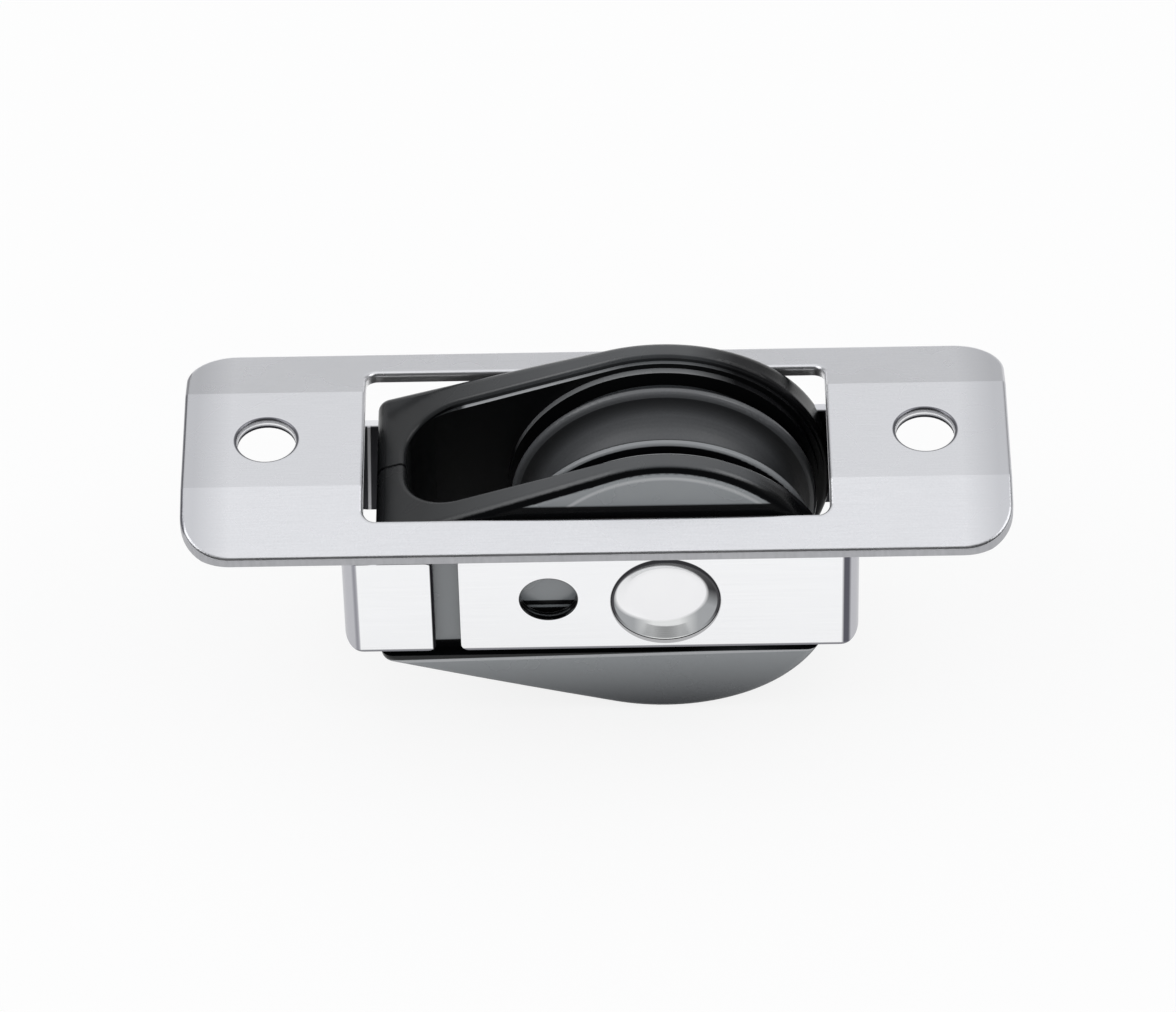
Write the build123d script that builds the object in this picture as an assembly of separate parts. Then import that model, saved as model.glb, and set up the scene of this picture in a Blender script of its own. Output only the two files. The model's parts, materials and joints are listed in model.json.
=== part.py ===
from build123d import *

import os
from math import asin, atan, atan2, cos, hypot, pi, sin, sqrt, tan

# Through-deck block, in millimetres.
# X runs along the deck plate, Y across it and Z up. The origin is midway between the
# two screws, on the top face of the plate. The sheave's axle lies along Y.

# Deck plate
PLATE_LENGTH = 76.0
PLATE_WIDTH = 27.0
PLATE_THICK = 1.1
PLATE_CORNER = 4.6
FLAT_WIDTH = 12.4
BAND_DROP = 2.14
EDGE_LAND = 0.8
PLATE_EDGE_ROUND = 0.4
OPENING_LENGTH = 42.6
OPENING_WIDTH = 19.3
OPENING_CORNER = 1.1
SCREW_SPACING = 60.6
SCREW_HOLE = 5.4

# Bent strap under the plate
STRAP_X = 0.25
STRAP_LENGTH = 47.6
STRAP_WIDTH = 19.8
STRAP_THICK = 1.0
STRAP_BEND = 1.45
STRAP_TOP_DEPTH = 6.1
STRAP_BOTTOM_DEPTH = 18.0
STRAP_FOOT_ROUND = 1.8
STRAP_GAP_START = 8.4
STRAP_GAP = 2.35
STRAP_END_CORNER = 0.75
TAB_STEP = 0.6
BACK_STEP = 1.15
BACK_STEP_REACH = 4.6
SPARE_HOLE = 5.36
SPARE_HOLE_FROM_AXLE = 10.8
SPARE_HOLE_RISE = 0.5

# Weld beads between the strap's end walls and the plate
WELD_LEG = 1.2
WELD_BULGE = 0.12
WELD_LENGTH = 10.4

# Place of the axle
AXLE_X = 6.2
AXLE_DEPTH = 12.0

# Moulded cheeks
CHEEK_RADIUS = 15.75
CHEEK_EDGE_HALF = 8.4
CHEEK_CROWN = 1.66
CHEEK_EDGE_ROUND = 1.1
HEAD_TO_STRAP = 2.25
HEAD_HALF = 8.2
HEAD_CORNER = 1.3
HEAD_WALL = 2.7
HOLLOW_WIDTH = 12.8
HOLLOW_END_ROUND = 5.2
LIP_ROUND = 0.5
LIP_DEPTH = 0.65
LIP_STEP = 0.4
LIP_FADE = 0.5
SEAM_ROUND = 0.12
SHOULDER_RADIUS = 14.55
SHOULDER_STEP = 0.65
PAD_RADIUS = 13.0
PAD_STEP = 1.05
STRAP_SIDE_FIT = 0.2
STRAP_LEDGE_FIT = 0.8

# Sheave
SHEAVE_RADIUS = 14.3
SHEAVE_WIDTH = 7.8
SHEAVE_RIM = 1.0
SHEAVE_RIM_ROUND = 0.4
GROOVE_DEPTH = 3.7
SHEAVE_BORE = 18.0

# Ball bearing
BALL_COUNT = 15
BALL_SIZE = 3.2
BALL_CIRCLE = 16.4
BALL_CLEAR = 0.03
RACE_SIZE = 14.8
RETAINER_THICK = 0.6
RETAINER_OFFSET = 2.2
RETAINER_CLEAR = 0.1

# Axle and its pressed-on cap
AXLE_SIZE = 8.8
AXLE_FIT = 0.03
AXLE_HEAD_SIZE = 10.0
AXLE_HEAD_FIT = 0.06
AXLE_HEAD_SEAT = 0.6
AXLE_RIM_RECESS = 0.05
AXLE_RIM_LAND = 0.12
DISH_DEPTH = 0.65
DISH_FLOOR_SIZE = 7.1
DISH_ROUND = 1.5
AXLE_SPIGOT = 5.0

# Rivets through the head
RIVET_SIZE = 1.5
RIVET_FIT = 0.05
RIVET_HEAD_SIZE = 3.0
RIVET_HEAD_THICK = 0.7
RIVET_SPACING = 9.0

# Sizes that follow from the ones above
BAND_ANGLE = atan(BAND_DROP / ((PLATE_WIDTH - FLAT_WIDTH) / 2))
BAND_SINK = PLATE_THICK / cos(BAND_ANGLE)
LAND_DEPTH = BAND_DROP + BAND_SINK - EDGE_LAND * tan(BAND_ANGLE)
STRAP_INNER_HALF = STRAP_WIDTH / 2 - STRAP_THICK
SEAT_HALF = STRAP_INNER_HALF - STRAP_SIDE_FIT
WALL_HALF = HOLLOW_WIDTH / 2 - LIP_STEP
SHOULDER_HALF = WALL_HALF - SHOULDER_STEP
PAD_HALF = SHOULDER_HALF - PAD_STEP
HEAD_UNDERSIDE = SEAT_HALF - AXLE_HEAD_SEAT
HEAD_RIM = STRAP_WIDTH / 2 - AXLE_RIM_RECESS
DISH_FLOOR = HEAD_RIM - DISH_DEPTH
HEAD_REACH = AXLE_X - STRAP_X + STRAP_LENGTH / 2 - STRAP_THICK - HEAD_TO_STRAP
HOLLOW_END = HEAD_REACH - HEAD_WALL
RIVET_REACH = HEAD_REACH - HEAD_WALL / 2

# Upright planes that face the viewer: one through the plate's centre, one on the axle
FRONT = Plane(origin=(0, 0, 0), x_dir=(1, 0, 0), z_dir=(0, -1, 0))
AXLE = Plane(origin=(AXLE_X, 0, -AXLE_DEPTH), x_dir=(1, 0, 0), z_dir=(0, -1, 0))


def discs(places, radius):
    """Equal circles at several places."""
    return Sketch() + [place * Circle(radius) for place in places]


def underside():
    """The plate's underside across its width: ground land, band, flat, band, land."""
    half = PLATE_WIDTH / 2
    fold = FLAT_WIDTH / 2 - PLATE_THICK * tan(BAND_ANGLE / 2)
    right = [(fold, -PLATE_THICK), (half - EDGE_LAND, -LAND_DEPTH), (half, -LAND_DEPTH)]
    left = [(-y, z) for y, z in reversed(right)]
    return left + right


def plate_section():
    """Pressed section across the plate: flat middle and two sloping bands."""
    half = PLATE_WIDTH / 2
    fold = FLAT_WIDTH / 2
    top = [(half, -BAND_DROP), (fold, 0), (-fold, 0), (-half, -BAND_DROP)]
    return make_face(Polyline(*underside(), *top, close=True))


def below_plate():
    """All the room under the plate that the strap can fill."""
    half = PLATE_WIDTH / 2
    floor = [(half, -STRAP_BOTTOM_DEPTH), (-half, -STRAP_BOTTOM_DEPTH)]
    section = make_face(Polyline(*underside(), *floor, close=True))
    return extrude(Plane.YZ * section, PLATE_LENGTH / 2, both=True)


def deck_plate():
    """Pressed plate with round corners, two screw holes and the opening for the block."""
    outline = RectangleRounded(PLATE_LENGTH, PLATE_WIDTH, PLATE_CORNER)
    outline -= RectangleRounded(OPENING_LENGTH, OPENING_WIDTH, OPENING_CORNER)
    outline -= discs(GridLocations(SCREW_SPACING, 0, 2, 1), SCREW_HOLE / 2)
    plate = extrude(Plane.YZ * plate_section(), PLATE_LENGTH / 2, both=True)
    plate &= extrude(outline, PLATE_WIDTH, both=True)

    # Every upper edge is rounded except the two folds, which two upper faces share
    flat_faces = plate.faces().filter_by(GeomType.PLANE)
    upper_faces = [f for f in flat_faces if f.normal_at().Z > cos(2 * BAND_ANGLE)]
    upper_edges = [e for f in upper_faces for e in f.edges()]
    rims = [e for e in upper_edges if upper_edges.count(e) == 1]
    return fillet(rims, PLATE_EDGE_ROUND)


def strap_ring(top_depth):
    """Closed ring of strip from the strap's bottom edge up to the given depth."""
    outer = RectangleRounded(STRAP_LENGTH, STRAP_WIDTH, STRAP_BEND)
    inner = RectangleRounded(
        STRAP_LENGTH - 2 * STRAP_THICK,
        STRAP_WIDTH - 2 * STRAP_THICK,
        STRAP_BEND - STRAP_THICK,
    )
    height = STRAP_BOTTOM_DEPTH - top_depth
    return extrude(Pos(0, 0, -STRAP_BOTTOM_DEPTH) * (outer - inner), height)


def side_strap():
    """Strip bent into a box round the block, its end walls raised to meet the plate."""
    ring = strap_ring(STRAP_TOP_DEPTH)
    raised_width = STRAP_WIDTH - 2 * STRAP_BEND
    end_walls = Box(2 * STRAP_LENGTH, raised_width, 2 * STRAP_BOTTOM_DEPTH)
    strap = ring + (strap_ring(0) & end_walls & below_plate())

    # Lower corners rounded in the side view
    foot = Rectangle(STRAP_LENGTH, 2 * STRAP_BOTTOM_DEPTH)
    foot = fillet(foot.vertices().group_by(Axis.Y)[0], STRAP_FOOT_ROUND)
    strap &= extrude(FRONT * foot, STRAP_WIDTH, both=True)

    # The strip starts lower than it ends, at the tab in front and the left of the back wall
    from_left_top = (Align.MIN, Align.CENTER, Align.MAX)
    for side, reach, step in ((-1, STRAP_GAP_START, TAB_STEP), (1, BACK_STEP_REACH, BACK_STEP)):
        above = Box(reach, 2 * STRAP_BEND, STRAP_TOP_DEPTH + step, align=from_left_top)
        strap -= Pos(-STRAP_LENGTH / 2, side * STRAP_WIDTH / 2, 0) * above

    # The gap between the strip's two ends, with rounded corners
    gap_x = -STRAP_LENGTH / 2 + STRAP_GAP_START + STRAP_GAP / 2
    near_face = -STRAP_WIDTH / 2 + STRAP_THICK / 2
    strap -= Pos(gap_x, near_face, 0) * Box(STRAP_GAP, 2 * STRAP_THICK, 2 * STRAP_BOTTOM_DEPTH)
    ends = strap.edges().filter_by(Axis.Y).filter_by_position(Axis.Y, -STRAP_WIDTH, 0)
    ends = ends.filter_by_position(Axis.X, gap_x - STRAP_GAP, gap_x + STRAP_GAP)
    strap = Pos(STRAP_X, 0, 0) * fillet(ends, STRAP_END_CORNER)

    # The axle's holes and the spare holes beside them, through both long walls
    spare = Pos(-SPARE_HOLE_FROM_AXLE, SPARE_HOLE_RISE) * Circle(SPARE_HOLE / 2)
    axle = Circle(AXLE_HEAD_SIZE / 2 + AXLE_HEAD_FIT)
    return strap - extrude(AXLE * (spare + axle), STRAP_WIDTH, both=True)


def weld_bead(side):
    """Fillet weld in the corner between one end wall and the underside of the plate."""
    corner = (STRAP_X + side * STRAP_LENGTH / 2, -PLATE_THICK)
    toe = (corner[0] + side * WELD_LEG, corner[1])
    foot = (corner[0], corner[1] - WELD_LEG)
    crown = WELD_LEG / 2 + WELD_BULGE
    face = make_face(
        [
            Line(corner, toe),
            ThreePointArc(toe, (corner[0] + side * crown, corner[1] - crown), foot),
            Line(foot, corner),
        ]
    )
    return extrude(FRONT * face, WELD_LENGTH / 2, both=True)


def rivet_places():
    """The two rivets' places in the axle's plane."""
    return [Pos(-RIVET_REACH, side * RIVET_SPACING / 2) for side in (-1, 1)]


def cheek_outline():
    """Teardrop round the sheave that runs in straight flanks to a square-cut head."""
    corner = (HEAD_REACH - HEAD_CORNER, HEAD_HALF - HEAD_CORNER)
    slope = asin((CHEEK_RADIUS - HEAD_CORNER) / hypot(*corner)) - atan2(corner[1], corner[0])
    across, up = sin(slope), cos(slope)
    edges = []
    for side in (-1, 1):
        rim_end = (-CHEEK_RADIUS * across, side * CHEEK_RADIUS * up)
        flank_end = (-corner[0] - HEAD_CORNER * across, side * (corner[1] + HEAD_CORNER * up))
        flank = Line(rim_end, flank_end)
        bend = TangentArc(flank_end, (-HEAD_REACH, side * corner[1]), tangent=flank % 1)
        edges += [flank, bend]
    edges.append(Line(edges[1] @ 1, edges[3] @ 1))
    edges.append(ThreePointArc(edges[0] @ 0, (CHEEK_RADIUS, 0), edges[2] @ 0))
    return make_face(edges)


def crowned_body():
    """The cheek's outer form: the teardrop under a gently crowned outer face."""
    rim = CHEEK_RADIUS
    edge = CHEEK_EDGE_HALF
    section = make_face(
        [
            Polyline((edge, -rim), (0, -rim), (0, rim), (edge, rim)),
            ThreePointArc((edge, rim), (edge + CHEEK_CROWN, 0), (edge, -rim)),
        ]
    )
    across = Plane(origin=(0, 0, 0), x_dir=(0, 0, 1), z_dir=(-1, 0, 0))
    crown = extrude(across * section, 2 * HEAD_REACH, both=True)
    body = extrude(cheek_outline(), edge + 2 * CHEEK_CROWN) & crown
    outer = body.faces().sort_by(Axis.Z)[-1]
    return fillet(outer.edges(), CHEEK_EDGE_ROUND)


def hollow(reach, half_width, end_round):
    """The room between the cheeks, closed at the head by a rounded end."""
    slot = Rectangle(reach + 2 * CHEEK_RADIUS, 2 * half_width, align=(Align.MIN, Align.CENTER))
    slot = fillet(slot.vertices().group_by(Axis.X)[0], end_round)
    plan = Plane(origin=(-reach, 0, 0), x_dir=(1, 0, 0), z_dir=(0, 1, 0))
    return extrude(plan * slot, 2 * CHEEK_RADIUS, both=True)


def cheek_half():
    """One moulded half of the block, in the axle's plane, with the seam at height zero."""
    body = crowned_body()
    wide = hollow(HOLLOW_END, HOLLOW_WIDTH / 2, HOLLOW_END_ROUND)
    half = body - wide
    lip = new_edges(body, wide, combined=half)
    lip = lip.filter_by_position(Axis.Z, 0, HOLLOW_WIDTH, inclusive=(False, True))
    half = fillet(lip, LIP_ROUND)

    # Below its lip the hollow is a step narrower, but for its end at the head
    core = extrude(offset(cheek_outline(), -LIP_DEPTH), HOLLOW_WIDTH / 2 + LIP_ROUND)
    half += core - hollow(HOLLOW_END + LIP_FADE, WALL_HALF, HOLLOW_END_ROUND - LIP_STEP)

    # Two more steps close in on the sheave
    half += Pos(0, 0, SHOULDER_HALF) * extrude(Circle(SHOULDER_RADIUS), SHOULDER_STEP)
    half += Pos(0, 0, PAD_HALF) * extrude(Circle(PAD_RADIUS), PAD_STEP)

    # The edges that meet in the seam are slightly rounded, so that the seam shows
    half = fillet(half.faces().sort_by(Axis.Z)[0].edges(), SEAM_ROUND)

    # The band that the strap's wall lies in
    ledge_top = AXLE_DEPTH - STRAP_TOP_DEPTH + STRAP_LEDGE_FIT
    ledge_bottom = STRAP_BOTTOM_DEPTH - AXLE_DEPTH + STRAP_LEDGE_FIT
    from_top = (Align.CENTER, Align.MAX, Align.MIN)
    band = Box(4 * HEAD_REACH, ledge_top + ledge_bottom, STRAP_WIDTH, align=from_top)
    half -= Pos(0, ledge_top, SEAT_HALF) * band

    # Axle hole with the seat of its head, and the rivet holes with theirs
    half -= extrude(Circle(AXLE_SIZE / 2 + AXLE_FIT), STRAP_WIDTH)
    half -= Pos(0, 0, HEAD_UNDERSIDE) * extrude(Circle(AXLE_HEAD_SIZE / 2 + AXLE_HEAD_FIT), STRAP_WIDTH)
    half -= extrude(discs(rivet_places(), RIVET_SIZE / 2 + RIVET_FIT), STRAP_WIDTH)
    seats = discs(rivet_places(), RIVET_HEAD_SIZE / 2 + RIVET_FIT)
    half -= Pos(0, 0, SEAT_HALF - RIVET_HEAD_THICK) * extrude(seats, STRAP_WIDTH)
    return half


def groove_arc(width, floor_radius, shoulder_radius):
    """Arc of a round groove, from shoulder to shoulder through its floor."""
    left = (-width / 2, shoulder_radius)
    right = (width / 2, shoulder_radius)
    return ThreePointArc(left, (0, floor_radius), right)


def track_half_width(shoulder_radius):
    """Half the width of a ball track where it cuts a shoulder of the given radius."""
    reach = shoulder_radius - BALL_CIRCLE / 2
    return sqrt((BALL_SIZE / 2 + BALL_CLEAR) ** 2 - reach**2)


def turned(section):
    """Solid of revolution about the axle from a section of (along the axle, radius)."""
    along = Plane(origin=(AXLE_X, 0, -AXLE_DEPTH), x_dir=(0, 1, 0), z_dir=(1, 0, 0))
    return revolve(along * section, Axis((AXLE_X, 0, -AXLE_DEPTH), (0, 1, 0)))


def sheave():
    """Wheel with a round groove for the line and a ball track in its bore."""
    half = SHEAVE_WIDTH / 2
    bore = SHEAVE_BORE / 2
    track = track_half_width(bore)
    track_floor = BALL_CIRCLE / 2 + BALL_SIZE / 2 + BALL_CLEAR
    groove_width = SHEAVE_WIDTH - 2 * SHEAVE_RIM
    groove_floor = SHEAVE_RADIUS - GROOVE_DEPTH
    profile = [
        Line((-half, bore), (-half, SHEAVE_RADIUS)),
        Line((-half, SHEAVE_RADIUS), (-groove_width / 2, SHEAVE_RADIUS)),
        groove_arc(groove_width, groove_floor, SHEAVE_RADIUS),
        Line((groove_width / 2, SHEAVE_RADIUS), (half, SHEAVE_RADIUS)),
        Line((half, SHEAVE_RADIUS), (half, bore)),
        Line((half, bore), (track, bore)),
        ThreePointArc((track, bore), (0, track_floor), (-track, bore)),
        Line((-track, bore), (-half, bore)),
    ]
    section = make_face(profile)
    return turned(fillet(section.vertices().group_by(Axis.Y)[-1], SHEAVE_RIM_ROUND))


def inner_race():
    """Ring clamped between the cheeks, with the inner ball track round it."""
    half = PAD_HALF
    bore = AXLE_SIZE / 2 + AXLE_FIT
    shoulder = RACE_SIZE / 2
    track = track_half_width(shoulder)
    track_floor = BALL_CIRCLE / 2 - BALL_SIZE / 2 - BALL_CLEAR
    profile = [
        Line((-half, bore), (-half, shoulder)),
        Line((-half, shoulder), (-track, shoulder)),
        ThreePointArc((-track, shoulder), (0, track_floor), (track, shoulder)),
        Line((track, shoulder), (half, shoulder)),
        Line((half, shoulder), (half, bore)),
        Line((half, bore), (-half, bore)),
    ]
    return turned(make_face(profile))


def ring(start, end, inner, outer):
    """Plain ring about the axle between two places along it."""
    section = Polyline((start, inner), (start, outer), (end, outer), (end, inner), close=True)
    return turned(make_face(section))


def retainer(side):
    """Thin ring pressed on the race that keeps the balls in their track."""
    start = side * RETAINER_OFFSET
    end = side * (RETAINER_OFFSET + RETAINER_THICK)
    return ring(start, end, RACE_SIZE / 2, SHEAVE_BORE / 2 - RETAINER_CLEAR)


def ball(index):
    """One bearing ball at its place round the axle."""
    turn = 2 * pi * index / BALL_COUNT
    x = AXLE_X + BALL_CIRCLE / 2 * sin(turn)
    z = -AXLE_DEPTH + BALL_CIRCLE / 2 * cos(turn)
    return Pos(x, 0, z) * Sphere(BALL_SIZE / 2)


def axle_end(side, bore):
    """Round head with a shallow dish in its outer face, from its seat to its rim."""
    seat, floor, rim = side * HEAD_UNDERSIDE, side * DISH_FLOOR, side * HEAD_RIM
    radius = AXLE_HEAD_SIZE / 2
    outer_side = [(seat, bore), (seat, radius), (rim, radius), (rim, radius - AXLE_RIM_LAND)]
    dish = [(floor, DISH_FLOOR_SIZE / 2), (floor, bore)]
    section = make_face(Polyline(*outer_side, *dish, close=True))
    dish_corner = section.vertices().sort_by_distance(dish[0])[0]
    return turned(fillet(dish_corner, DISH_ROUND))


def axle_pin():
    """Headed pin that carries the block in the strap's two holes."""
    shaft = ring(-HEAD_UNDERSIDE, HEAD_UNDERSIDE, 0, AXLE_SIZE / 2)
    head = axle_end(-1, 0)
    spigot = ring(HEAD_UNDERSIDE, DISH_FLOOR, 0, AXLE_SPIGOT / 2)
    return shaft + head + spigot


def axle_cap():
    """Cap pressed on the pin's spigot, which makes the head at the far side."""
    return axle_end(1, AXLE_SPIGOT / 2)


def head_rivets():
    """Two rivets across the head, their heads sunk in the cheeks' outer faces."""
    rivets = []
    for place in rivet_places():
        rivet = extrude(Circle(RIVET_SIZE / 2), SEAT_HALF, both=True)
        for side in (-1, 1):
            head = extrude(Circle(RIVET_HEAD_SIZE / 2), RIVET_HEAD_THICK / 2, both=True)
            rivet += Pos(0, 0, side * (SEAT_HALF - RIVET_HEAD_THICK / 2)) * head
        rivets.append(AXLE * place * rivet)
    return Compound(rivets)


def write(name, shape):
    """Write one piece to its own file."""
    shape.label = name
    export_step(shape, f"parts/{name}.step")


os.makedirs("parts", exist_ok=True)
near = AXLE * cheek_half()
write("deck_plate", deck_plate())
write("side_strap", side_strap())
write("weld_left", weld_bead(-1))
write("weld_right", weld_bead(1))
write("cheek_near", near)
write("cheek_far", mirror(near, Plane.XZ))
write("sheave", sheave())
write("inner_race", inner_race())
write("retainer_near", retainer(-1))
write("retainer_far", retainer(1))
write("axle_pin", axle_pin())
write("axle_cap", axle_cap())
write("head_rivets", head_rivets())
for number in range(BALL_COUNT):
    write(f"ball_{number + 1:02d}", ball(number))
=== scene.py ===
import json
from math import cos, pi, radians, sin

import bmesh
import bpy
from mathutils import Matrix, Vector


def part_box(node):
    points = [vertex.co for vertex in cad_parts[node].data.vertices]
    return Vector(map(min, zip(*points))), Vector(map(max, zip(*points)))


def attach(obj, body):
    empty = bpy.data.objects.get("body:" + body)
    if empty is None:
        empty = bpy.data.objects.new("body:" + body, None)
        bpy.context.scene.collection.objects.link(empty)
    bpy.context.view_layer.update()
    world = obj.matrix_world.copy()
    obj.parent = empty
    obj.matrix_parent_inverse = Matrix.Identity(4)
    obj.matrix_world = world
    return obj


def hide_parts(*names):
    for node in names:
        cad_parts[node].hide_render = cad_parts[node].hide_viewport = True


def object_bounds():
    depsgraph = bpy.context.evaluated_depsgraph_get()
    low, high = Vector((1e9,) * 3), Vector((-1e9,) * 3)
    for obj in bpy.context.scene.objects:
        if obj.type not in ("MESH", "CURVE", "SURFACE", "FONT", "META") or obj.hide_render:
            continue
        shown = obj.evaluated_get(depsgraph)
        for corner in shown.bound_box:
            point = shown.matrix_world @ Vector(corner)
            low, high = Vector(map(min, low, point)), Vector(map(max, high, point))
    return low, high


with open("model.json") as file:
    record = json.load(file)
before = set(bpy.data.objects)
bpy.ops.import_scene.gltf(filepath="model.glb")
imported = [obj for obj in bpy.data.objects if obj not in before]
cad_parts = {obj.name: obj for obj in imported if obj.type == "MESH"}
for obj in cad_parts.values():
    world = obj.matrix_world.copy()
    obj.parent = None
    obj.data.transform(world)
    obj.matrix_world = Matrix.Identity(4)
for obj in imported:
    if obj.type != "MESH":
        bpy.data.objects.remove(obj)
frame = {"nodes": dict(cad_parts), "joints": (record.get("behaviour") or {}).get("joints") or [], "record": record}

cad_box = [list(corner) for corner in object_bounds()]
nodes = frame["nodes"]
scene = bpy.context.scene


# Viewpoint
# A long lens in front of the block and above it, looking down at about 44 degrees, and
# turned a little so that the plate falls to the left as it does in the photograph.
eye = bpy.data.cameras.new("eye")
eye.sensor_width = 36.0
eye.lens = 211.2
eye.clip_start = 0.01
eye.clip_end = 50.0
eye_place = Vector((0.004601, -0.457144, 0.439966))
look_down = radians(44.497)
look_aside = radians(-0.684)
lean = radians(-1.415)
turn = Matrix.Rotation(-look_aside, 3, "Z") @ Matrix.Rotation(pi / 2 - look_down, 3, "X")
turn = turn @ Matrix.Rotation(lean, 3, "Z")
eye_object = bpy.data.objects.new("eye", eye)
eye_object.matrix_world = Matrix.LocRotScale(eye_place, turn, None)
scene.collection.objects.link(eye_object)
scene.camera = eye_object
scene.view_settings.view_transform = "Standard"


# Studio room
# A pale room, brightest overhead, with a soft box at each side. Only shiny surfaces see
# the dark flag in front and the dimmer side walls, which give the steel its dark edges.
skyline_level = 0.57
overhead_level = 1.0
flag_level = 0.1
side_level = 0.4
seen_level = 0.97
backdrop_white = (0.985, 0.99, 1.0, 1.0)
room = bpy.data.worlds.new("studio_room")
scene.world = room
room.use_nodes = True
tree = room.node_tree
tree.nodes.clear()


def add_node(tree, kind, values=None, **settings):
    """A shader node with its settings and its unlinked input values."""
    made = tree.nodes.new(kind)
    for name, value in settings.items():
        setattr(made, name, value)
    for name, value in (values or {}).items():
        made.inputs[name].default_value = value
    return made


def remap(tree, source, low, high, to_low=0.0, to_high=1.0, smooth=False):
    """Source stretched from low..high to to_low..to_high, held at both ends."""
    made = add_node(tree, "ShaderNodeMapRange", {1: low, 2: high, 3: to_low, 4: to_high})
    made.interpolation_type = "SMOOTHSTEP" if smooth else "LINEAR"
    tree.links.new(source, made.inputs[0])
    return made.outputs[0]


def feed(tree, socket, value):
    """Give a socket a number, or link it to a source."""
    if isinstance(value, (int, float)):
        socket.default_value = value
    else:
        tree.links.new(value, socket)


def combine(tree, operation, first, second=0.0):
    """A Math node on two sources, either of which can be a number."""
    made = add_node(tree, "ShaderNodeMath", operation=operation)
    feed(tree, made.inputs[0], first)
    feed(tree, made.inputs[1], second)
    return made.outputs[0]


def all_of(tree, first, *others):
    """One only where every one of the masks is one."""
    for mask in others:
        first = combine(tree, "MULTIPLY", first, mask)
    return first


def choose(tree, amount, without, within):
    """A number between two others, each of which can be a source."""
    made = add_node(tree, "ShaderNodeMix", data_type="FLOAT")
    tree.links.new(amount, made.inputs[0])
    feed(tree, made.inputs[2], without)
    feed(tree, made.inputs[3], within)
    return made.outputs[0]


def away(tree, source):
    """How far a coordinate is from zero, on either side."""
    return combine(tree, "ABSOLUTE", source)


def split_axes(tree, vector):
    """The X, Y and Z of a vector."""
    made = add_node(tree, "ShaderNodeSeparateXYZ")
    tree.links.new(vector, made.inputs[0])
    return made.outputs["X"], made.outputs["Y"], made.outputs["Z"]


path = add_node(tree, "ShaderNodeLightPath")
toward = add_node(tree, "ShaderNodeTexCoord").outputs["Generated"]
east, north, upward = split_axes(tree, toward)
raised = remap(tree, upward, 0.04, 0.2, smooth=True)
front = remap(tree, north, -0.1, -0.4, smooth=True)
sides = remap(tree, away(tree, east), 0.3, 0.85, smooth=True)
light_level = remap(tree, upward, 0.0, 1.0, skyline_level, overhead_level)
for part, part_level in ((front, flag_level), (sides, side_level)):
    shaded = all_of(tree, part, raised, path.outputs["Is Glossy Ray"])
    share = remap(tree, shaded, 0.0, 1.0, 1.0, part_level)
    light_level = combine(tree, "MULTIPLY", light_level, share)
shown = choose(tree, path.outputs["Is Camera Ray"], light_level, seen_level)
backdrop = add_node(tree, "ShaderNodeBackground", {"Color": backdrop_white})
tree.links.new(shown, backdrop.inputs["Strength"])
room_output = add_node(tree, "ShaderNodeOutputWorld")
tree.links.new(backdrop.outputs[0], room_output.inputs["Surface"])


def soft_lamp(name, place, power, width=0.9, height=0.7):
    """A rectangular soft box that points at the block."""
    lamp = bpy.data.lights.new(name, "AREA")
    lamp.shape = "RECTANGLE"
    lamp.size = width
    lamp.size_y = height
    lamp.energy = power
    made = bpy.data.objects.new(name, lamp)
    made.location = place
    made.rotation_euler = (-Vector(place)).to_track_quat("-Z", "Y").to_euler()
    scene.collection.objects.link(made)


soft_lamp("lamp_left", (-0.95, -0.05, 1.0), 3.2)
soft_lamp("lamp_right", (0.95, -0.05, 1.0), 3.0)


# Floor
# A plain pale sheet that the cheeks' lower edges just touch. The camera sees it nearly
# white under a faint shadow, and the steel mirrors it bright except under the block,
# where its glow is left out as a painted shadow.
floor_half = 3.0
floor_level = cad_box[0][2]
floor_grey = (0.93, 0.93, 0.93, 1.0)
floor_glow = (0.985, 0.985, 0.985, 1.0)
seen_share = 0.86
mirrored_share = 0.75
floor_mesh = bmesh.new()
corners = [(-1, -1), (1, -1), (1, 1), (-1, 1)]
spots = [(x * floor_half, y * floor_half, floor_level) for x, y in corners]
floor_mesh.faces.new([floor_mesh.verts.new(spot) for spot in spots])
floor_data = bpy.data.meshes.new("floor")
floor_mesh.to_mesh(floor_data)
floor_mesh.free()
floor = bpy.data.objects.new("floor", floor_data)
scene.collection.objects.link(floor)


def new_material(name, **values):
    """A material with one Principled shader, and its node tree and shader."""
    made = bpy.data.materials.new(name)
    made.use_nodes = True
    shader = made.node_tree.nodes["Principled BSDF"]
    for key, value in values.items():
        shader.inputs[key.replace("_", " ")].default_value = value
    return made, made.node_tree, shader


def band(tree, source, low, high, soft=0.00004):
    """One where the source lies between low and high and zero outside, with soft edges."""
    above = remap(tree, source, low - soft, low + soft)
    below = remap(tree, source, high - soft, high + soft, 1.0, 0.0)
    return combine(tree, "MULTIPLY", above, below)


def up_to(tree, source, inner, outer):
    """One up to the inner distance from zero, falling to none at the outer one."""
    return remap(tree, source, inner, outer, 1.0, 0.0)


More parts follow.
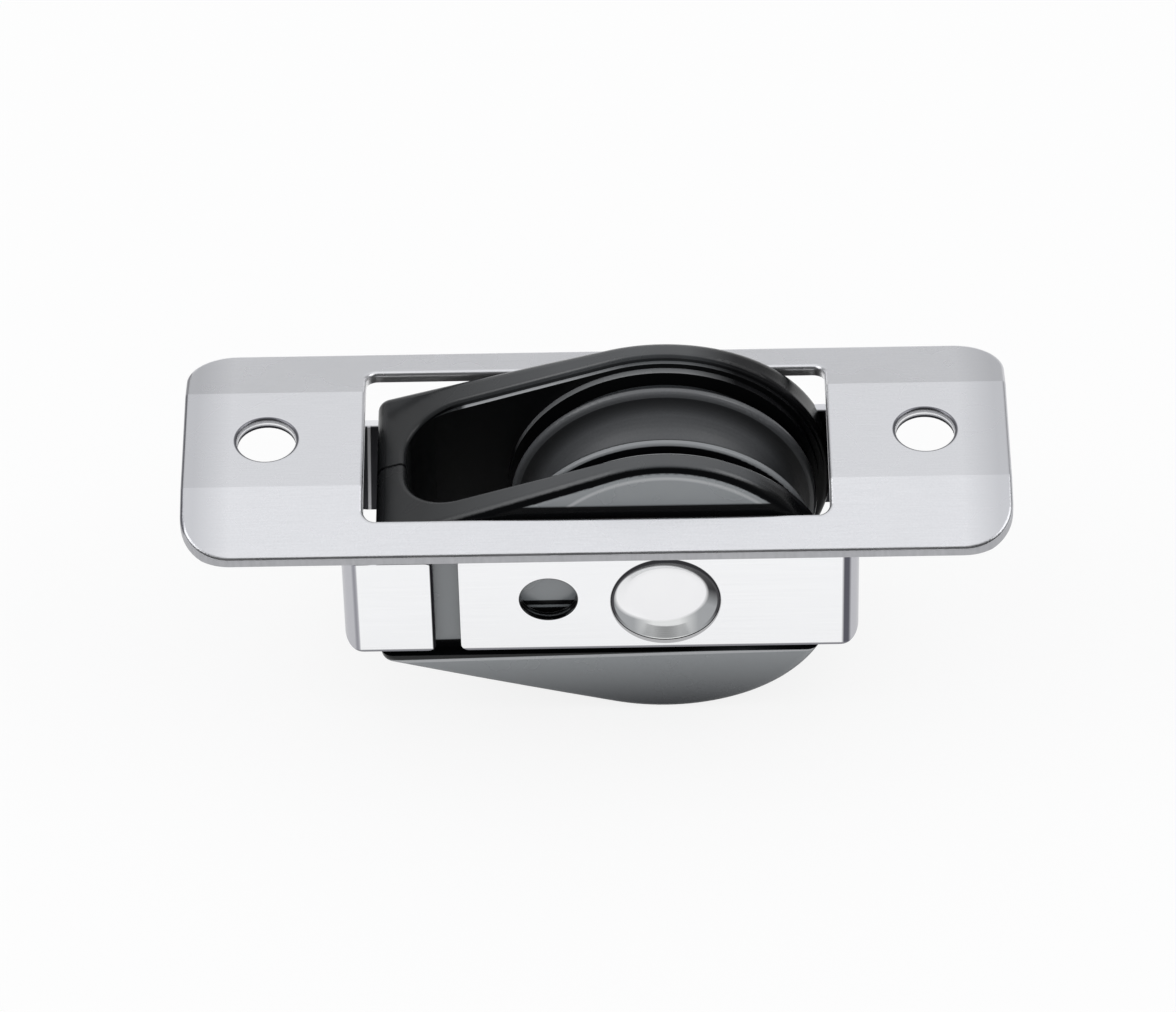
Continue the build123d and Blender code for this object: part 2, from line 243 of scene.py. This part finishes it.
paper, tree, shader = new_material("pale_paper", Base_Color=floor_grey, Roughness=0.9)
east, north, upward = split_axes(tree, add_node(tree, "ShaderNodeTexCoord").outputs["Object"])
box_low, box_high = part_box("side_strap")
beside = band(tree, east, box_low[0], box_high[0], 0.002)
shadow_under_block = all_of(tree, beside, band(tree, north, box_low[1], box_high[1], 0.002))
open_floor = combine(tree, "SUBTRACT", 1.0, shadow_under_block)
path = add_node(tree, "ShaderNodeLightPath").outputs
seen = combine(tree, "MAXIMUM", path["Is Camera Ray"], path["Is Transmission Ray"])
seen = combine(tree, "MULTIPLY", seen, seen_share)
mirrored = all_of(tree, path["Is Glossy Ray"], open_floor, mirrored_share)
glow = add_node(tree, "ShaderNodeEmission", {"Color": floor_glow, "Strength": 1.0})
blended = add_node(tree, "ShaderNodeMixShader")
tree.links.new(combine(tree, "MAXIMUM", seen, mirrored), blended.inputs[0])
tree.links.new(shader.outputs[0], blended.inputs[1])
tree.links.new(glow.outputs[0], blended.inputs[2])
tree.links.new(blended.outputs[0], tree.nodes["Material Output"].inputs["Surface"])
floor_data.materials.append(paper)


# Deck plate
# Stainless sheet, pressed to its flat middle and two sloping bands, with the holes and
# the opening punched. Its face has a fine satin grain, and its cut edges are sheared.
plate_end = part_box("deck_plate")[1][0]
plate_thick = 0.0011
screws = next(m for m in frame["record"]["mounts"] if m["name"] == "deck_screws")["dims"]
hole_place = screws["spacing_x_mm"] / 2000
hole_radius = screws["hole_r_mm"] / 1000
opening_half = (0.0213, 0.00965)
satin_dark, satin_light = (0.67, 0.675, 0.70), (0.86, 0.865, 0.89)
end_grey = (0.6, 0.605, 0.63)
edge_dark, edge_light = (0.36, 0.365, 0.38), (0.5, 0.5, 0.52)
painted_line_grey = (0.2, 0.2, 0.22)
low_hole_black = (0.02, 0.02, 0.025)
cut_bright = (0.97, 0.97, 0.98)


def object_point(tree, scale=(1.0, 1.0, 1.0)):
    """The point on the piece in its own axes, multiplied along each axis."""
    place = add_node(tree, "ShaderNodeTexCoord").outputs["Object"]
    stretch = add_node(tree, "ShaderNodeMapping", {"Scale": scale})
    tree.links.new(place, stretch.inputs["Vector"])
    return stretch.outputs[0]


def face_direction(tree):
    """Which way the surface faces, along each of the piece's axes."""
    return split_axes(tree, add_node(tree, "ShaderNodeTexCoord").outputs["Normal"])


def noise(tree, scale, detail=2.0, rough=0.5):
    """Noise whose grain is one over scale long, in metres, along each axis."""
    values = {"Scale": 1.0, "Detail": detail, "Roughness": rough}
    made = add_node(tree, "ShaderNodeTexNoise", values)
    tree.links.new(object_point(tree, scale), made.inputs["Vector"])
    return made.outputs["Fac"]


def tint(tree, amount, dark, light):
    """A colour between dark and light, each of which can be a colour or a source."""
    made = add_node(tree, "ShaderNodeMix", data_type="RGBA")
    tree.links.new(amount, made.inputs[0])
    for socket, colour in ((made.inputs[6], dark), (made.inputs[7], light)):
        if isinstance(colour, tuple):
            socket.default_value = (*colour, 1.0)
        else:
            tree.links.new(colour, socket)
    return made.outputs[2]


def relief(tree, shader, height, distance, strength=1.0):
    """Bump from a height source."""
    made = add_node(tree, "ShaderNodeBump", {"Strength": strength, "Distance": distance})
    tree.links.new(height, made.inputs["Height"])
    tree.links.new(made.outputs[0], shader.inputs["Normal"])


def reach(tree, first, second):
    """How far a point with two coordinates is from zero."""
    squares = [combine(tree, "MULTIPLY", side, side) for side in (first, second)]
    return combine(tree, "SQRT", combine(tree, "ADD", *squares))


def dress(node, material):
    """Give a CAD node one material."""
    mesh = nodes[node].data
    mesh.materials.clear()
    mesh.materials.append(material)


sheet, tree, shader = new_material("satin_sheet", Metallic=1.0, Roughness=0.28)
x, y, z = split_axes(tree, object_point(tree))
flatness = away(tree, face_direction(tree)[2])
grain = noise(tree, (5200.0, 5200.0, 5200.0), 3.0, 0.6)
brush = noise(tree, (300.0, 9000.0, 9000.0), 2.0, 0.5)
cloud = noise(tree, (90.0, 90.0, 90.0), 3.0, 0.55)
grain_share = combine(tree, "MULTIPLY", grain, 0.6)
satin = combine(tree, "ADD", grain_share, combine(tree, "MULTIPLY", brush, 0.4))

# Face: a little darker towards both ends, with painted shade on the rounded edge at the
# left end and a painted dark line round each hole
face_colour = tint(tree, satin, satin_dark, satin_light)
near_end = remap(tree, away(tree, x), plate_end - 0.0045, plate_end - 0.0012)
face_colour = tint(tree, near_end, face_colour, end_grey)
at_left_end = remap(tree, x, 0.0005 - plate_end, 0.0004 - plate_end)
painted_dark_end = all_of(tree, at_left_end, remap(tree, flatness, 0.96, 0.88))
face_colour = tint(tree, painted_dark_end, face_colour, painted_line_grey)
hole_reach = reach(tree, combine(tree, "SUBTRACT", away(tree, x), hole_place), y)
painted_hole_ring = band(tree, hole_reach, hole_radius + 0.00006, hole_radius + 0.0003)
face_colour = tint(tree, painted_hole_ring, face_colour, painted_line_grey)

# Cut edges: black low in the holes under one burnished line, bright in the opening
cut = remap(tree, flatness, 0.5, 0.25)
tear = noise(tree, (2600.0, 2600.0, 500.0), 3.0, 0.6)
in_hole = up_to(tree, hole_reach, hole_radius + 0.0009, hole_radius + 0.0011)
low_in_hole = all_of(tree, in_hole, remap(tree, z, -0.00078, -0.00086))
burnished = all_of(tree, in_hole, band(tree, z, -0.00066, -0.0005))
in_opening = all_of(
    tree,
    up_to(tree, away(tree, x), opening_half[0] + 0.0009, opening_half[0] + 0.0013),
    up_to(tree, away(tree, y), opening_half[1] + 0.0009, opening_half[1] + 0.0013),
)
edge_colour = tint(tree, tear, edge_dark, edge_light)
edge_colour = tint(tree, low_in_hole, edge_colour, low_hole_black)
edge_colour = tint(tree, burnished, edge_colour, cut_bright)
edge_colour = tint(tree, in_opening, edge_colour, cut_bright)
sheared = all_of(tree, cut, in_opening, band(tree, z, -plate_thick, -0.0003))
tree.links.new(tint(tree, cut, face_colour, edge_colour), shader.inputs["Base Color"])
tree.links.new(choose(tree, sheared, 1.0, 0.0), shader.inputs["Metallic"])
face_rough = remap(tree, cloud, 0.3, 0.7, 0.23, 0.33)
tree.links.new(choose(tree, cut, face_rough, 0.42), shader.inputs["Roughness"])
relief(tree, shader, satin, 0.00003, 0.5)
dress("deck_plate", sheet)


# Side strap
# One stainless strip bent round four corners into a box that hangs under the plate and
# carries the axle. It is polished outside, with painted shade on the bends and inside.
low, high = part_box("side_strap")
strap_middle = ((low[0] + high[0]) / 2, 0.0, 0.0)
half_long = (high[0] - low[0]) / 2
half_wide = (high[1] - low[1]) / 2
foot = low[2]
strap_thick = 0.001
strap_bend = 0.00145
tab_end = 0.0084 - half_long
axle = next(j for j in frame["joints"] if j["name"] == "sheave_spin")["pos_m"]
axle_hole = 0.00506
spare_hole = (axle[0] - 0.0108, 0.0, axle[2] + 0.0005)
spare_radius = 0.00268
shade_line_pitch = 0.00045
strip_dark, strip_light = (0.9, 0.905, 0.92), (0.96, 0.965, 0.975)
painted_bend_shade = (0.5, 0.5, 0.53)
inside_shade_dark, inside_shade_light = (0.02, 0.02, 0.023), (0.05, 0.05, 0.055)
shade_line_dark, shade_line_light = (0.04, 0.04, 0.043), (0.4, 0.4, 0.41)


def from_middle(tree, middle):
    """The point's X, Y and Z measured from a middle point."""
    made = add_node(tree, "ShaderNodeVectorMath", {1: middle}, operation="SUBTRACT")
    tree.links.new(object_point(tree), made.inputs[0])
    return split_axes(tree, made.outputs[0])


def reach_from(tree, middle, squash=1.0):
    """How far the point is from a middle line along Y, with heights squashed."""
    x, y, z = from_middle(tree, middle)
    return reach(tree, x, combine(tree, "MULTIPLY", z, squash))


strip, tree, shader = new_material("bright_strip", Metallic=1.0, Roughness=0.12)
x, y, z = from_middle(tree, strap_middle)
rolling = noise(tree, (120.0, 120.0, 7000.0), 3.0, 0.5)
cloud = noise(tree, (160.0, 160.0, 160.0), 3.0, 0.55)
strip_colour = tint(tree, rolling, strip_dark, strip_light)

# Long walls: painted shade on the bends, painted dark lines at each end and at the tab's
# cut edge, and a dark line at the foot
flat_wide = half_wide - strap_bend
flat_long = half_long - strap_bend
on_wall = remap(tree, away(tree, y), flat_wide - 0.00015, flat_wide + 0.00015)
shaded_bend = remap(tree, away(tree, x), flat_long, flat_long + 0.0001)
right_line = band(tree, x, flat_long - 0.00005, flat_long + 0.0006, 0.00012)
left_line = band(tree, x, strap_thick - half_long, strap_thick - half_long + 0.0003, 0.0001)
tab_edge = band(tree, x, tab_end - 0.00028, tab_end + 0.0001)
near_wall = remap(tree, y, 0.0015 - half_wide, 0.001 - half_wide)
foot_line = remap(tree, z, foot + 0.0003, foot + 0.0002)
for line, wall, line_colour in (
    (shaded_bend, on_wall, painted_bend_shade),
    (right_line, on_wall, (0.1, 0.1, 0.12)),
    (left_line, on_wall, (0.3, 0.3, 0.33)),
    (tab_edge, near_wall, (0.01, 0.01, 0.012)),
    (foot_line, 1.0, (0.25, 0.25, 0.27)),
):
    strip_colour = tint(tree, all_of(tree, line, wall), strip_colour, line_colour)

# Inside: painted shade, with one leaning line of painted light beside the block's head
inner_long = half_long - strap_thick
inner_wide = half_wide - strap_thick
inside = all_of(
    tree,
    up_to(tree, away(tree, x), inner_long + 0.0002, inner_long + 0.0004),
    up_to(tree, away(tree, y), inner_wide + 0.0001, inner_wide + 0.0003),
)
inside_shade_colour = tint(tree, cloud, inside_shade_dark, inside_shade_light)
slant = combine(tree, "MULTIPLY", combine(tree, "ADD", z, 0.0077), 0.031)
leaning = combine(tree, "SUBTRACT", x, slant)
painted_light_line = band(tree, leaning, 0.0021 - half_long, 0.00238 - half_long)
inside_shade_colour = tint(tree, painted_light_line, inside_shade_colour, (0.55, 0.55, 0.56))
strip_colour = tint(tree, inside, strip_colour, inside_shade_colour)

# Holes: painted shade lines round the spare hole's wall, and painted shade on the axle
# hole's edge, dark above and grey below
spare_reach = reach_from(tree, spare_hole)
spare_wall = remap(tree, spare_reach, spare_radius + 0.00007, spare_radius + 0.00004)
shade_lines = combine(tree, "SINE", combine(tree, "MULTIPLY", y, 2 * pi / shade_line_pitch))
wall_colour = tint(tree, remap(tree, shade_lines, 0.2, 0.7), shade_line_dark, shade_line_light)
strip_colour = tint(tree, spare_wall, strip_colour, wall_colour)
axle_reach = reach_from(tree, axle, 0.93)
hole_edge = remap(tree, axle_reach, axle_hole + 0.00009, axle_hole + 0.00002)
hole_edge = all_of(tree, hole_edge, on_wall)
above_axle = remap(tree, z, axle[2] - 0.001, axle[2] + 0.001)
hole_edge_shade = tint(tree, above_axle, (0.45, 0.45, 0.46), (0.03, 0.03, 0.033))
strip_colour = tint(tree, hole_edge, strip_colour, hole_edge_shade)
tree.links.new(strip_colour, shader.inputs["Base Color"])
strip_rough = remap(tree, cloud, 0.3, 0.7, 0.1, 0.17)
tree.links.new(choose(tree, inside, strip_rough, 0.4), shader.inputs["Roughness"])
relief(tree, shader, rolling, 0.00001, 0.2)
dress("side_strap", strip)


# Weld beads
# Fillet welds that join the strap's end walls to the underside of the plate, laid by
# hand in overlapping pools, so that each bead shows ripples and has rounded ends.
bead_rows = 96
bead_columns = 10
bead_fill = 0.86
pool_length = 0.0009
pool_height = 0.08
pool_lag = 0.25
throat_dip = 0.16
heat_dark, heat_light = (0.4, 0.36, 0.34), (0.66, 0.64, 0.66)
bead_steel, tree, shader = new_material("weld_bead", Metallic=1.0, Roughness=0.35)
heat = noise(tree, (700.0, 260.0, 700.0), 3.0, 0.6)
tree.links.new(tint(tree, heat, heat_dark, heat_light), shader.inputs["Base Color"])
tree.links.new(remap(tree, heat, 0.3, 0.7, 0.28, 0.5), shader.inputs["Roughness"])
relief(tree, shader, heat, 0.00003, 0.5)


def bead_rings(mesh, low, high, side):
    """Rings of points along a rippled fillet between the strap's wall and the plate."""
    wall = high[0] if side < 0 else low[0]
    ceiling = high[2]
    leg = high[0] - low[0]
    length = high[1] - low[1]
    rings = []
    for row in range(bead_rows + 1):
        along = row / bead_rows
        place = low[1] + length * along
        to_end = min(along, 1 - along) * length
        swell = min(1.0, (to_end / leg + 0.02) ** 0.5)
        ring = [mesh.verts.new((wall, place, ceiling))]
        for column in range(bead_columns + 1):
            angle = pi / 2 * column / bead_columns
            lag = pool_lag * sin(2 * angle)
            ripple = abs(sin(pi * (place / pool_length + lag)))
            fill = bead_fill + pool_height * ripple
            bulge = leg * swell * fill * (1 - throat_dip * sin(2 * angle))
            spot = (wall + side * bulge * cos(angle), place, ceiling - bulge * sin(angle))
            ring.append(mesh.verts.new(spot))
        rings.append(ring)
    return rings


for node, side in (("weld_left", -1), ("weld_right", 1)):
    bead_mesh = bmesh.new()
    rings = bead_rings(bead_mesh, *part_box(node), side)
    for before, after in zip(rings, rings[1:]):
        for i in range(len(before)):
            j = (i + 1) % len(before)
            bead_mesh.faces.new((before[i], before[j], after[j], after[i]))
    bead_mesh.faces.new(rings[0])
    bead_mesh.faces.new(reversed(rings[-1]))
    bmesh.ops.recalc_face_normals(bead_mesh, faces=bead_mesh.faces)
    for face in bead_mesh.faces:
        face.smooth = True
    bead_data = bpy.data.meshes.new(f"bead_{node}")
    bead_mesh.to_mesh(bead_data)
    bead_mesh.free()
    bead_data.materials.append(bead_steel)
    bead = bpy.data.objects.new(f"bead_{node}", bead_data)
    scene.collection.objects.link(bead)
    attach(bead, "frame")
    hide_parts(node)


# Cheeks
# Two moulded halves in black plastic that meet in a seam across the head, riveted there
# and held by the axle. The near face has a painted grey sheen, and the hollow is painted
# black as shade.
low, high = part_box("cheek_near")
cheek_foot = low[2]
edge_half = 0.0084
shoulder_radius = 0.01455
hollow_half = 0.0064
lip_step = 0.0004
hollow_end = low[0] + 0.0027
hollow_round = hollow_end + 0.0052
face_slope = 0.022
black = (0.003, 0.0032, 0.0036)
painted_sheen_light, painted_sheen_dark = (0.185, 0.2, 0.21), (0.02, 0.022, 0.025)
painted_highlight_grey = (0.34, 0.35, 0.36)
rim_dark, rim_light = (0.03, 0.032, 0.035), (0.05, 0.054, 0.058)
moulding, tree, shader = new_material("black_moulding", Roughness=0.25, IOR=1.85)
x, y, z = split_axes(tree, object_point(tree))
facing = face_direction(tree)
speck = noise(tree, (6000.0, 6000.0, 6000.0), 2.0, 0.6)
cloud = noise(tree, (220.0, 220.0, 220.0), 3.0, 0.55)
to_axle = combine(tree, "SUBTRACT", x, axle[0])
sloping = combine(tree, "SUBTRACT", z, combine(tree, "MULTIPLY", to_axle, face_slope))
axle_reach = reach_from(tree, axle)
to_head = remap(tree, x, -0.003, -0.016)

# Near outer face: painted grey sheen, darker downwards as painted shade, with painted
# highlight lines along the crest and the ledge that the strap's foot leaves
outer = all_of(
    tree,
    remap(tree, away(tree, facing[1]), 0.7, 0.8),
    remap(tree, away(tree, y), edge_half - 0.0007, edge_half - 0.0005),
)
near_face = all_of(tree, outer, remap(tree, y, 0.0, -0.001))
lower = remap(tree, sloping, foot - 0.001, cheek_foot + 0.00025)
ledge = all_of(tree, near_face, band(tree, sloping, foot - 0.0013, foot - 0.0009))
crest = band(tree, axle_reach, shoulder_radius - 0.00015, shoulder_radius + 0.00015, 0.0001)
crest_line = all_of(tree, near_face, remap(tree, z, -0.002, -0.001), crest)
face_colour = tint(tree, lower, painted_sheen_light, painted_sheen_dark)
worn = combine(tree, "MAXIMUM", ledge, crest_line)
face_colour = tint(tree, worn, face_colour, painted_highlight_grey)

# Rims: darker towards the head, painted shade towards the tail, and painted highlight
# lines on the step and the lip
rim_colour = tint(tree, cloud, rim_dark, rim_light)
rim_colour = tint(tree, to_head, rim_colour, (0.018, 0.019, 0.02))
inner_side = remap(tree, away(tree, y), edge_half - 0.0008, edge_half - 0.001)
step = band(tree, axle_reach, shoulder_radius - 0.00005, shoulder_radius + 0.00005)
rim_colour = tint(tree, all_of(tree, step, inner_side), rim_colour, (0.17, 0.175, 0.18))
lip = all_of(
    tree,
    band(tree, away(tree, y), hollow_half - lip_step, hollow_half),
    remap(tree, facing[2], 0.75, 0.85),
    remap(tree, x, hollow_round - 0.0001, hollow_round + 0.0004),
)
lip_colour = tint(tree, remap(tree, x, -0.004, 0.003), painted_highlight_grey, (0.1, 0.105, 0.11))
rim_colour = tint(tree, lip, rim_colour, lip_colour)
far_tail = all_of(tree, remap(tree, x, 0.0085, 0.013), remap(tree, y, 0.0, 0.001))
dim = combine(tree, "MAXIMUM", far_tail, remap(tree, x, 0.0135, 0.0175))
rim_colour = tint(tree, dim, rim_colour, (0.008, 0.008, 0.009))

# Black places that the light doesn't reach: the outer shoulder, the seam, the hollow,
# under the plate, behind the strap's foot, and low in the spare hole
at_edge = remap(tree, away(tree, y), edge_half - 0.0012, edge_half - 0.001)
shoulder = all_of(tree, at_edge, band(tree, facing[2], 0.36, 0.8, 0.05))
seam = all_of(
    tree,
    remap(tree, away(tree, y), 0.0002, 0.00014),
    remap(tree, x, hollow_end + 0.0004, hollow_end + 0.0002),
)
hollow = all_of(
    tree,
    remap(tree, away(tree, y), hollow_half + 0.0002, hollow_half - 0.0001),
    remap(tree, x, hollow_end, hollow_end + 0.0004),
    remap(tree, facing[2], 0.5, 0.3),
)
under_plate = all_of(tree, band(tree, z, -0.0058, -0.0003, 0.0001), outer)
under_strap = all_of(tree, band(tree, sloping, foot - 0.0009, foot + 0.0007, 0.00006), at_edge)
from_spare = combine(tree, "SUBTRACT", z, spare_hole[2])
spare_light = band(tree, from_spare, -0.0022, -0.0019)
in_spare = all_of(
    tree,
    remap(tree, reach_from(tree, spare_hole), 0.0033, 0.0032),
    remap(tree, from_spare, -0.00125, -0.00135),
    combine(tree, "SUBTRACT", 1.0, spare_light),
)
dark = shoulder
for shaded in (seam, hollow, under_plate, under_strap, in_spare):
    dark = combine(tree, "MAXIMUM", dark, shaded)
colour = tint(tree, near_face, rim_colour, face_colour)
tree.links.new(tint(tree, dark, colour, black), shader.inputs["Base Color"])
# Reflection weaker towards the head, and turned down as painted shade towards the tail, low on the near face and
# in the black places
shine = tint(tree, to_head, (0.75, 0.75, 0.75), (0.3, 0.3, 0.3))
shine = tint(tree, dim, shine, (0.2, 0.2, 0.2))
shine = tint(tree, near_face, shine, (1.0, 1.0, 1.0))
shine = tint(tree, all_of(tree, near_face, lower), shine, (0.15, 0.15, 0.16))
tree.links.new(tint(tree, dark, shine, (0.05, 0.05, 0.05)), shader.inputs["Specular Tint"])
shell_rough = remap(tree, cloud, 0.3, 0.7, 0.2, 0.3)
tree.links.new(choose(tree, hollow, shell_rough, 0.5), shader.inputs["Roughness"])
relief(tree, shader, speck, 0.00001, 0.3)
dress("cheek_near", moulding)
dress("cheek_far", moulding)


# Sheave and its race
# Turned wheel in satin black plastic with a round groove for the line, worn smooth on
# its rims, and the moulded race and retainers that it runs round.
low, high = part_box("sheave")
wheel_radius = (high[0] - low[0]) / 2
near_side, far_side = low[1], high[1]
rim_depth = 0.0007
turning_pitch = 0.00028
groove_dark, groove_light = (0.065, 0.068, 0.073), (0.09, 0.094, 0.1)
rim_dark, rim_light = (0.08, 0.083, 0.087), (0.11, 0.114, 0.12)
flank_black = (0.004, 0.004, 0.005)
wheel, tree, shader = new_material("black_wheel", Roughness=0.45, IOR=1.6)
x, y, z = from_middle(tree, axle)
radius = reach(tree, x, z)
rings = combine(tree, "SINE", combine(tree, "MULTIPLY", radius, 2 * pi / turning_pitch))
speck = noise(tree, (5000.0, 5000.0, 5000.0), 2.0, 0.6)
flank = remap(tree, away(tree, y), far_side - 0.00006, far_side - 0.00002)

# Rims: the near one has a painted highlight on its outer edge and painted shade on its
# inner one, and the far one has painted shade at its edge
on_rim = remap(tree, radius, wheel_radius - rim_depth, wheel_radius - rim_depth + 0.0001)
inner_edge = band(tree, y, near_side + 0.0006, near_side + 0.0009)
outer_edge = remap(tree, y, near_side + 0.0006, near_side + 0.00055)
far_edge = remap(tree, y, far_side - 0.0004, far_side - 0.0002)
rim_colour = tint(tree, speck, rim_dark, rim_light)
rim_colour = tint(tree, inner_edge, rim_colour, flank_black)
rim_colour = tint(tree, outer_edge, rim_colour, (0.22, 0.23, 0.24))
rim_colour = tint(tree, far_edge, rim_colour, (0.03, 0.03, 0.033))

# Groove: painted shade high on its far side
groove_colour = tint(tree, speck, groove_dark, groove_light)
far_groove = remap(tree, y, 0.0025, 0.003)
groove_colour = tint(tree, far_groove, groove_colour, (0.012, 0.013, 0.014))
wheel_colour = tint(tree, on_rim, groove_colour, rim_colour)
# Flanks painted black, with their reflection turned down, as painted shade between the cheeks
wheel_colour = tint(tree, flank, wheel_colour, flank_black)
tree.links.new(wheel_colour, shader.inputs["Base Color"])
shine = tint(tree, flank, (1.0, 1.0, 1.0), (0.1, 0.1, 0.1))
tree.links.new(shine, shader.inputs["Specular Tint"])
tree.links.new(choose(tree, on_rim, 0.5, 0.3), shader.inputs["Roughness"])
relief(tree, shader, combine(tree, "ADD", rings, speck), 0.000004, 0.4)
for node in ("sheave", "inner_race", "retainer_near", "retainer_far"):
    dress(node, wheel)


# Balls
# Fifteen balls of off-white bearing plastic, ground smooth, with a trace of grease. They
# roll between the race and the sheave, and the retainers keep them in their track.
ball_dark, ball_light = (0.74, 0.72, 0.66), (0.84, 0.82, 0.77)
pearl, tree, shader = new_material("ball_white", Roughness=0.3)
grease = noise(tree, (900.0, 900.0, 900.0), 2.0, 0.5)
tree.links.new(tint(tree, grease, ball_dark, ball_light), shader.inputs["Base Color"])
tree.links.new(remap(tree, grease, 0.3, 0.7, 0.2, 0.4), shader.inputs["Roughness"])
for number in range(1, 16):
    dress(f"ball_{number:02d}", pearl)


# Axle, its cap and the rivets
# Turned stainless, pressed together through the cheeks, with fine rings from the facing
# tool on the dished ends. The dish is polished, and the edge round it has a painted
# reflection.
low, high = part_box("axle_cap")
head_radius = (high[0] - low[0]) / 2
facing_pitch = 0.00016
dish_middle = (-0.0004, 0.00055)
dish_half = (0.00417, 0.00372)
turned_dark, turned_light = (0.88, 0.88, 0.895), (0.94, 0.94, 0.95)
turned, tree, shader = new_material("turned_steel", Metallic=1.0, Roughness=0.12)
x, y, z = from_middle(tree, axle)
radius = reach(tree, x, z)
rings = combine(tree, "SINE", combine(tree, "MULTIPLY", radius, 2 * pi / facing_pitch))
cloud = noise(tree, (300.0, 300.0, 300.0), 2.0, 0.5)
turned_colour = tint(tree, cloud, turned_dark, turned_light)

# Edge round the dish: painted reflection, light at the foot, grey at its sides and dark above
shares = []
for place, middle, half in zip((x, z), dish_middle, dish_half):
    from_dish = combine(tree, "SUBTRACT", place, middle)
    shares.append(combine(tree, "DIVIDE", from_dish, half))
painted_edge_reflection = remap(tree, reach(tree, *shares), 0.98, 1.06)
to_side = remap(tree, away(tree, x), 0.0012, 0.003)
foot_colour = tint(tree, to_side, (0.75, 0.76, 0.76), (0.36, 0.37, 0.38))
edge_colour = tint(tree, remap(tree, z, -0.001, 0.0012), foot_colour, (0.03, 0.03, 0.033))
turned_colour = tint(tree, painted_edge_reflection, turned_colour, edge_colour)
# A dark line painted as shade round the lower part of the head's rim
outline = remap(tree, radius, head_radius - 0.00025, head_radius - 0.0002)
outline = all_of(tree, outline, remap(tree, z, -0.0035, -0.0015))
turned_colour = tint(tree, outline, turned_colour, (0.06, 0.06, 0.065))
tree.links.new(turned_colour, shader.inputs["Base Color"])
tree.links.new(remap(tree, cloud, 0.3, 0.7, 0.1, 0.16), shader.inputs["Roughness"])
relief(tree, shader, rings, 0.000001, 0.1)
for node in ("axle_pin", "axle_cap", "head_rivets"):
    dress(node, turned)
